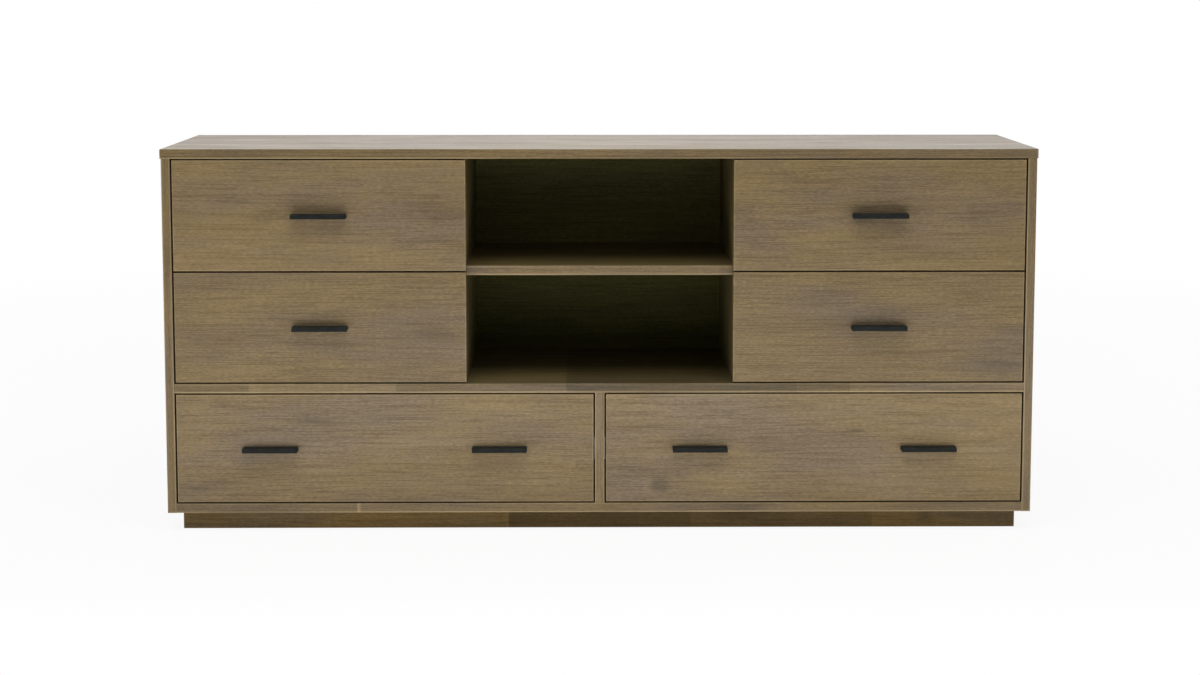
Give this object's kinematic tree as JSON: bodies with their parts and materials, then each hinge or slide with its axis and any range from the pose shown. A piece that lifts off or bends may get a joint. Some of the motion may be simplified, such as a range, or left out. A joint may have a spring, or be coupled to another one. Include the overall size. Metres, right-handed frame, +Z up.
{
  "type": "chest of drawers",
  "caption": "Long low wooden chest of drawers with flush fronts, flat black pulls, a central open bay with a shelf, wide lower drawers and a set-back plinth",
  "frame": {"origin": "on the floor, in the middle of the case's width and depth", "axes": "+X to the right seen from the front, +Y from the drawer fronts to the back, +Z up"},
  "size_m": [1.829, 0.485, 0.81],
  "materials": {
    "stained_wood": "grey-brown stain, matt lacquer",
    "plinth_wood": "darker grey-brown stain, matt lacquer",
    "back_board": "thin board, dark brown stain",
    "box_wood": "clear lacquer on light wood",
    "box_ply": "clear lacquer on plywood",
    "black_metal": "black satin powder coat",
    "zinc_steel": "bright zinc plating"
  },
  "bodies": {
    "case": {"top_panel": "stained_wood", "side_panel_left": "stained_wood", "side_panel_right": "stained_wood", "bottom_panel": "stained_wood", "deck_panel": "stained_wood", "partition_lower": "stained_wood", "partition_upper_left": "stained_wood", "partition_upper_right": "stained_wood", "shelf": "stained_wood", "back_panel": "back_board", "plinth_front_rail": "plinth_wood", "plinth_back_rail": "plinth_wood", "plinth_end_left": "plinth_wood", "plinth_end_right": "plinth_wood", "plinth_brace": "plinth_wood", "slide_case_members": "zinc_steel"},
    "drawer_upper_left": {"drawer_upper_left_front": "stained_wood", "drawer_upper_left_box_sides": "box_wood", "drawer_upper_left_box_ends": "box_wood", "drawer_upper_left_bottom": "box_ply", "drawer_upper_left_slide_inner": "zinc_steel", "drawer_upper_left_pull": "black_metal"},
    "drawer_upper_left_slide_middle": {"drawer_upper_left_slide_middle": "zinc_steel"},
    "drawer_upper_right": {"drawer_upper_right_front": "stained_wood", "drawer_upper_right_box_sides": "box_wood", "drawer_upper_right_box_ends": "box_wood", "drawer_upper_right_bottom": "box_ply", "drawer_upper_right_slide_inner": "zinc_steel", "drawer_upper_right_pull": "black_metal"},
    "drawer_upper_right_slide_middle": {"drawer_upper_right_slide_middle": "zinc_steel"},
    "drawer_middle_left": {"drawer_middle_left_front": "stained_wood", "drawer_middle_left_box_sides": "box_wood", "drawer_middle_left_box_ends": "box_wood", "drawer_middle_left_bottom": "box_ply", "drawer_middle_left_slide_inner": "zinc_steel", "drawer_middle_left_pull": "black_metal"},
    "drawer_middle_left_slide_middle": {"drawer_middle_left_slide_middle": "zinc_steel"},
    "drawer_middle_right": {"drawer_middle_right_front": "stained_wood", "drawer_middle_right_box_sides": "box_wood", "drawer_middle_right_box_ends": "box_wood", "drawer_middle_right_bottom": "box_ply", "drawer_middle_right_slide_inner": "zinc_steel", "drawer_middle_right_pull": "black_metal"},
    "drawer_middle_right_slide_middle": {"drawer_middle_right_slide_middle": "zinc_steel"},
    "drawer_lower_left": {"drawer_lower_left_front": "stained_wood", "drawer_lower_left_box_sides": "box_wood", "drawer_lower_left_box_ends": "box_wood", "drawer_lower_left_bottom": "box_ply", "drawer_lower_left_slide_inner": "zinc_steel", "drawer_lower_left_pull_left": "black_metal", "drawer_lower_left_pull_right": "black_metal"},
    "drawer_lower_left_slide_middle": {"drawer_lower_left_slide_middle": "zinc_steel"},
    "drawer_lower_right": {"drawer_lower_right_front": "stained_wood", "drawer_lower_right_box_sides": "box_wood", "drawer_lower_right_box_ends": "box_wood", "drawer_lower_right_bottom": "box_ply", "drawer_lower_right_slide_inner": "zinc_steel", "drawer_lower_right_pull_left": "black_metal", "drawer_lower_right_pull_right": "black_metal"},
    "drawer_lower_right_slide_middle": {"drawer_lower_right_slide_middle": "zinc_steel"}
  },
  "joints": [
    {"name": "drawer_upper_left_run", "type": "slide", "parent": "case", "child": "drawer_upper_left", "axis": [0, -1, 0], "range_m": [0, 0.4]},
    {"name": "drawer_upper_left_slide_middle_run", "type": "slide", "parent": "case", "child": "drawer_upper_left_slide_middle", "axis": [0, -1, 0], "range_m": [0, 0.2]},
    {"name": "drawer_upper_right_run", "type": "slide", "parent": "case", "child": "drawer_upper_right", "axis": [0, -1, 0], "range_m": [0, 0.4]},
    {"name": "drawer_upper_right_slide_middle_run", "type": "slide", "parent": "case", "child": "drawer_upper_right_slide_middle", "axis": [0, -1, 0], "range_m": [0, 0.2]},
    {"name": "drawer_middle_left_run", "type": "slide", "parent": "case", "child": "drawer_middle_left", "axis": [0, -1, 0], "range_m": [0, 0.4]},
    {"name": "drawer_middle_left_slide_middle_run", "type": "slide", "parent": "case", "child": "drawer_middle_left_slide_middle", "axis": [0, -1, 0], "range_m": [0, 0.2]},
    {"name": "drawer_middle_right_run", "type": "slide", "parent": "case", "child": "drawer_middle_right", "axis": [0, -1, 0], "range_m": [0, 0.4]},
    {"name": "drawer_middle_right_slide_middle_run", "type": "slide", "parent": "case", "child": "drawer_middle_right_slide_middle", "axis": [0, -1, 0], "range_m": [0, 0.2]},
    {"name": "drawer_lower_left_run", "type": "slide", "parent": "case", "child": "drawer_lower_left", "axis": [0, -1, 0], "range_m": [0, 0.4]},
    {"name": "drawer_lower_left_slide_middle_run", "type": "slide", "parent": "case", "child": "drawer_lower_left_slide_middle", "axis": [0, -1, 0], "range_m": [0, 0.2]},
    {"name": "drawer_lower_right_run", "type": "slide", "parent": "case", "child": "drawer_lower_right", "axis": [0, -1, 0], "range_m": [0, 0.4]},
    {"name": "drawer_lower_right_slide_middle_run", "type": "slide", "parent": "case", "child": "drawer_lower_right_slide_middle", "axis": [0, -1, 0], "range_m": [0, 0.2]}
  ],
  "couplings": [
    {"joint": "drawer_upper_left_slide_middle_run", "follows": "drawer_upper_left_run", "ratio": 0.5},
    {"joint": "drawer_upper_right_slide_middle_run", "follows": "drawer_upper_right_run", "ratio": 0.5},
    {"joint": "drawer_middle_left_slide_middle_run", "follows": "drawer_middle_left_run", "ratio": 0.5},
    {"joint": "drawer_middle_right_slide_middle_run", "follows": "drawer_middle_right_run", "ratio": 0.5},
    {"joint": "drawer_lower_left_slide_middle_run", "follows": "drawer_lower_left_run", "ratio": 0.5},
    {"joint": "drawer_lower_right_slide_middle_run", "follows": "drawer_lower_right_run", "ratio": 0.5}
  ]
}
